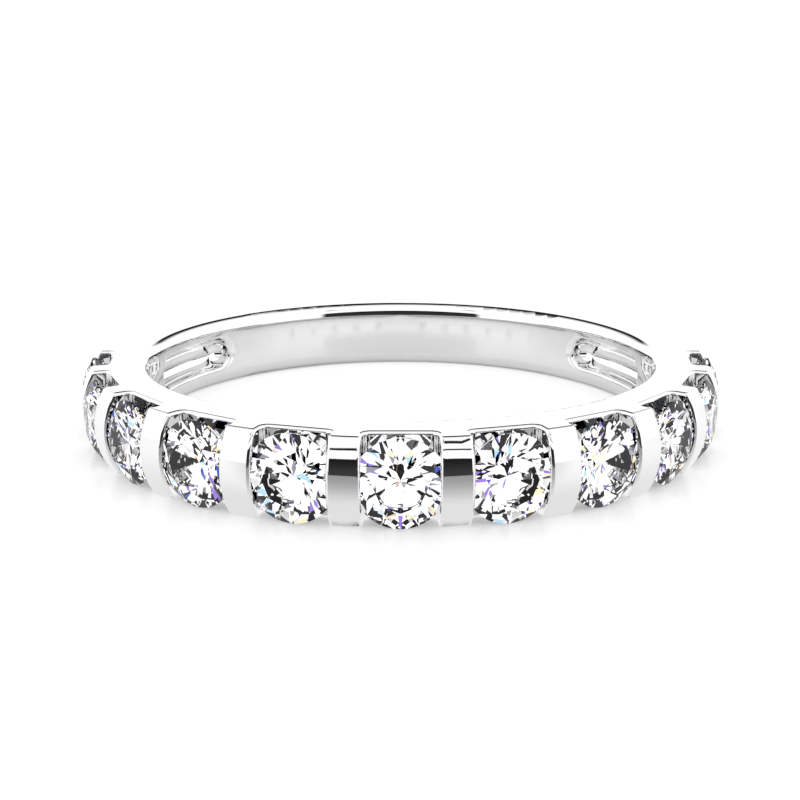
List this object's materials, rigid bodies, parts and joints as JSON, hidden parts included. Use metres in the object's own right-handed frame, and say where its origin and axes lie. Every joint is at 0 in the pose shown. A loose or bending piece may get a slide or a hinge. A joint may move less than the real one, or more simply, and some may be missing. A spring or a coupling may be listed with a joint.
{
  "type": "finger ring",
  "caption": "Slim polished band, domed outside and comfort curved inside, whose front holds a row of round brilliants between cross bars.",
  "frame": {"origin": "centre of the finger hole, half way across the band's width", "axes": "+Z along the finger, across the band's width; the stones face -Y and the plain back of the band is at +Y; the ring lies on its side on the face at -Z"},
  "size_m": [0.0212, 0.0208, 0.0024],
  "materials": {
    "metal": "mirror polished silver",
    "stones": "polished colourless facets"
  },
  "bodies": {
    "root": {"band": "metal", "stone_01": "stones", "stone_02": "stones", "stone_03": "stones", "stone_04": "stones", "stone_05": "stones", "stone_06": "stones", "stone_07": "stones", "stone_08": "stones", "stone_09": "stones", "stone_10": "stones", "stone_11": "stones"}
  },
  "joints": []
}
